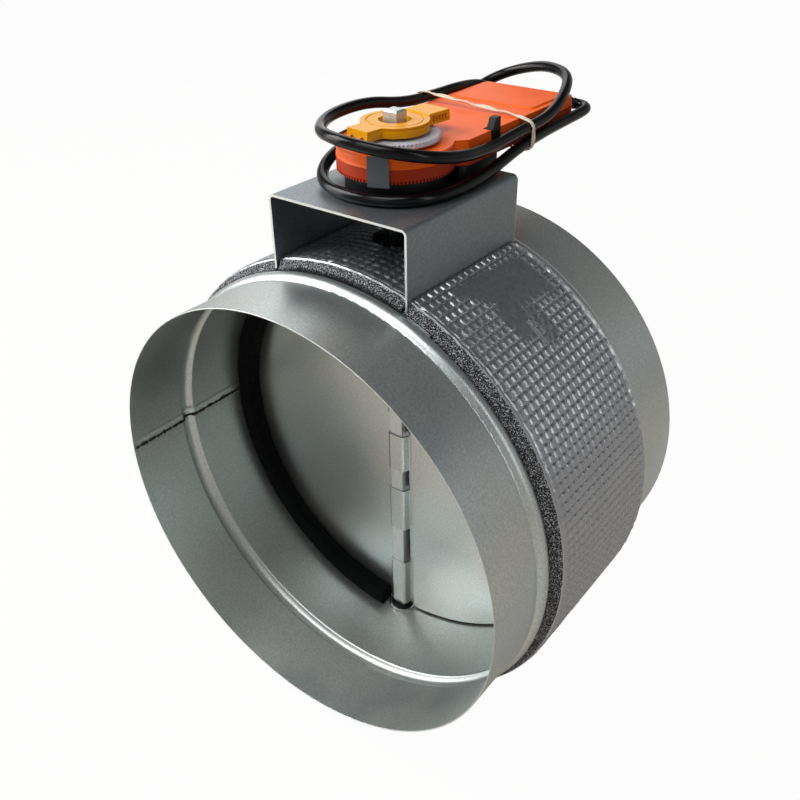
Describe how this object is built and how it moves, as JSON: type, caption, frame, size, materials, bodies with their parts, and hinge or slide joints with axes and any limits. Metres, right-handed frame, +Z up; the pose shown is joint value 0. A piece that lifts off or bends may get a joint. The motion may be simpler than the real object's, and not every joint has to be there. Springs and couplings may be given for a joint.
{
  "type": "motorized damper",
  "caption": "Round insulated duct damper whose square shaft is turned by a small rotary actuator on a bridge bracket, its cable coiled and banded.",
  "frame": {"origin": "centre of the front spigot's open end, on the duct's axis", "axes": "+Y along the duct from the front spigot to the rear one, +Z up along the shaft towards the actuator, +X to the right seen from the front"},
  "size_m": [0.2644, 0.2398, 0.3272],
  "materials": {
    "galvanised": "satin",
    "grey_foam": "matt",
    "embossed_foil": "satin",
    "zinc_steel": "satin",
    "black_plastic": "matt",
    "seal_foam": "matt",
    "orange_plastic": "satin",
    "pale_plastic": "satin",
    "brass": "satin",
    "board_green": "satin",
    "grey_plastic": "satin",
    "yellow_plastic": "satin",
    "black_cable": "satin",
    "pale_band": "satin"
  },
  "bodies": {
    "casing": {"duct_casing": "galvanised", "insulation_sleeve": "grey_foam", "insulation_pad": "grey_foam", "sleeve_foil": "embossed_foil", "pad_foil": "embossed_foil", "actuator_bracket": "galvanised", "bracket_rivets": "zinc_steel", "upper_bearing_ring": "zinc_steel", "lower_bearing_ring": "zinc_steel", "front_seal": "seal_foam", "rear_seal": "seal_foam", "actuator_base": "black_plastic", "base_screws": "zinc_steel", "lower_housing": "orange_plastic", "upper_housing": "orange_plastic", "housing_screws": "zinc_steel", "gear_pins": "zinc_steel", "motor": "zinc_steel", "circuit_board": "board_green", "board_parts": "black_plastic", "cable_grommet": "black_plastic", "cord": "black_cable", "cord_band": "pale_band"},
    "blade": {"damper_blade": "galvanised", "drive_shaft": "zinc_steel", "upper_bush": "black_plastic", "lower_bush": "black_plastic", "retaining_washer": "zinc_steel", "output_gear": "pale_plastic", "position_disc": "grey_plastic", "shaft_adapter": "yellow_plastic"},
    "first_gear": {"first_gear": "pale_plastic"},
    "second_gear": {"second_gear": "pale_plastic"},
    "motor_pinion": {"motor_pinion": "brass"},
    "end_stop_front": {"end_stop_front": "grey_plastic"},
    "end_stop_rear": {"end_stop_rear": "grey_plastic"},
    "release_button": {"release_button": "black_plastic"}
  },
  "joints": [
    {"name": "blade_turn", "type": "hinge", "parent": "casing", "child": "blade", "pos_m": [0, 0.094, 0], "axis": [0, 0, -1], "range_deg": [0, 90]},
    {"name": "first_gear_spin", "type": "hinge", "parent": "casing", "child": "first_gear", "pos_m": [0, 0.1215, 0], "axis": [0, 0, -1], "range_deg": [-360, 0]},
    {"name": "second_gear_spin", "type": "hinge", "parent": "casing", "child": "second_gear", "pos_m": [0, 0.1399, 0], "axis": [0, 0, -1], "range_deg": [0, 1296]},
    {"name": "motor_spin", "type": "hinge", "parent": "casing", "child": "motor_pinion", "pos_m": [0, 0.1574, 0], "axis": [0, 0, -1], "range_deg": [-5184, 0]},
    {"name": "end_stop_front_set", "type": "hinge", "parent": "casing", "child": "end_stop_front", "pos_m": [0, 0.094, 0], "axis": [0, 0, 1], "range_deg": [0, 45]},
    {"name": "end_stop_rear_set", "type": "hinge", "parent": "casing", "child": "end_stop_rear", "pos_m": [0, 0.094, 0], "axis": [0, 0, 1], "range_deg": [0, 40]},
    {"name": "button_press", "type": "slide", "parent": "casing", "child": "release_button", "axis": [-1, 0, 0], "range_m": [0, 0.002], "stiffness_N_per_m": 800}
  ],
  "couplings": [
    {"joint": "first_gear_spin", "follows": "blade_turn", "ratio": -4},
    {"joint": "second_gear_spin", "follows": "blade_turn", "ratio": 14.4},
    {"joint": "motor_spin", "follows": "blade_turn", "ratio": -57.6}
  ]
}
